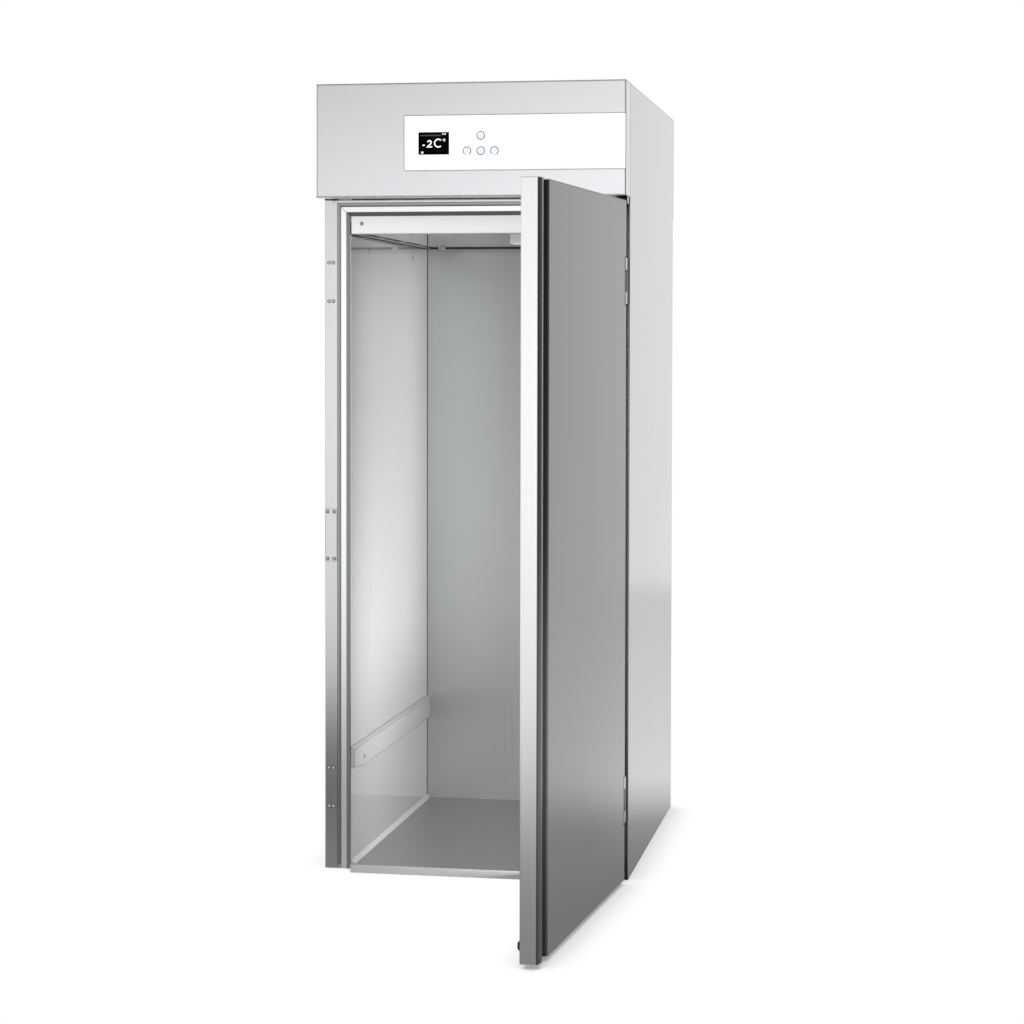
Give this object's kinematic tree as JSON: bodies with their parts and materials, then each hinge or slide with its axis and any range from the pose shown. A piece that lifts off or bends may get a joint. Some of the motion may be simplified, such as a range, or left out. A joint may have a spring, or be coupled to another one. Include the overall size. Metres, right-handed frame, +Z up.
{
  "type": "roll-in refrigerator",
  "caption": "Tall stainless roll-in refrigerator with a full-height hinged door, entry ramp and cooling unit on top.",
  "frame": {"origin": "on the floor, at the middle of the insulated cabinet's footprint", "axes": "+Z up, the door side faces -Y, +X to the viewer's right, towards the hinge side"},
  "size_m": [0.87, 1.9062, 2.21],
  "materials": {
    "stainless_steel": "satin",
    "galvanised_sheet": "satin",
    "bright_screw_steel": "satin",
    "insulating_foam": "matte",
    "frame_plastic": "satin",
    "grey_cap_plastic": "satin",
    "gasket_rubber": "matte",
    "sweep_rubber": "matte",
    "white_panel": "satin",
    "display_glass": "gloss",
    "key_plastic": "satin",
    "lamp_white": "satin",
    "black_steel": "satin",
    "black_plastic": "satin",
    "fin_aluminium": "satin",
    "copper": "satin"
  },
  "bodies": {
    "cabinet": {"air_guide": "stainless_steel", "air_guide_rails": "stainless_steel", "bumper_rails": "stainless_steel", "compressor": "black_steel", "condensate_tray": "grey_cap_plastic", "condenser": "fin_aluminium", "control_strip": "white_panel", "display_window": "display_glass", "electrical_box": "galvanised_sheet", "entry_ramp": "stainless_steel", "evaporator_case": "grey_cap_plastic", "evaporator_coil": "fin_aluminium", "fan_shroud": "black_steel", "filter_drier": "copper", "floor_panel": "stainless_steel", "floor_skirting": "stainless_steel", "foam_left": "insulating_foam", "foam_rear": "insulating_foam", "foam_right": "insulating_foam", "foam_top": "insulating_foam", "frame_breaker": "frame_plastic", "frame_screws": "bright_screw_steel", "header_panel": "stainless_steel", "header_tab": "stainless_steel", "hinge_brackets": "stainless_steel", "hinge_pins": "bright_screw_steel", "hole_plugs": "grey_cap_plastic", "interior_lamp": "lamp_white", "lamp_diffuser": "lamp_white", "liner_ceiling": "stainless_steel", "liner_left": "stainless_steel", "liner_rear": "stainless_steel", "liner_right": "stainless_steel", "lintel_cover": "stainless_steel", "lintel_strip": "stainless_steel", "mains_inlet": "black_plastic", "post_bars": "galvanised_sheet", "rear_grille": "galvanised_sheet", "rear_skin": "stainless_steel", "refrigerant_pipes": "copper", "side_skin_left": "stainless_steel", "side_skin_right": "stainless_steel", "strike_plate": "stainless_steel", "temperature_probe": "grey_cap_plastic", "top_cover": "galvanised_sheet", "unit_base": "galvanised_sheet"},
    "door": {"door_outer_skin": "stainless_steel", "door_foam": "insulating_foam", "door_liner": "stainless_steel", "door_handle_profile": "stainless_steel", "door_end_caps": "grey_cap_plastic", "door_gasket": "gasket_rubber", "door_sweep": "sweep_rubber", "hinge_leaves": "stainless_steel"},
    "condenser_fan": {"condenser_fan": "black_plastic"},
    "evaporator_fan": {"evaporator_fan": "black_plastic"},
    "key_up": {"key_up": "key_plastic"},
    "key_left": {"key_left": "key_plastic"},
    "key_middle": {"key_middle": "key_plastic"},
    "key_right": {"key_right": "key_plastic"}
  },
  "joints": [
    {"name": "door_swing", "type": "hinge", "parent": "cabinet", "child": "door", "pos_m": [0.4235, -0.5415, 0.948], "axis": [0, 0, 1], "range_deg": [-84.5, 20.5]},
    {"name": "condenser_fan_spin", "type": "hinge", "parent": "cabinet", "child": "condenser_fan", "pos_m": [0.2537, 0.394, 2.029], "axis": [0, 1, 0], "continuous": true},
    {"name": "evaporator_fan_spin", "type": "hinge", "parent": "cabinet", "child": "evaporator_fan", "pos_m": [-0.15007, 0.148, 1.966], "axis": [0, 1, 0], "continuous": true},
    {"name": "key_up_press", "type": "slide", "parent": "cabinet", "child": "key_up", "axis": [0, 1, 0], "range_m": [0, 0.0007], "stiffness_N_per_m": 1500, "springref_m": -0.0004},
    {"name": "key_left_press", "type": "slide", "parent": "cabinet", "child": "key_left", "axis": [0, 1, 0], "range_m": [0, 0.0007], "stiffness_N_per_m": 1500, "springref_m": -0.0004},
    {"name": "key_middle_press", "type": "slide", "parent": "cabinet", "child": "key_middle", "axis": [0, 1, 0], "range_m": [0, 0.0007], "stiffness_N_per_m": 1500, "springref_m": -0.0004},
    {"name": "key_right_press", "type": "slide", "parent": "cabinet", "child": "key_right", "axis": [0, 1, 0], "range_m": [0, 0.0007], "stiffness_N_per_m": 1500, "springref_m": -0.0004}
  ]
}
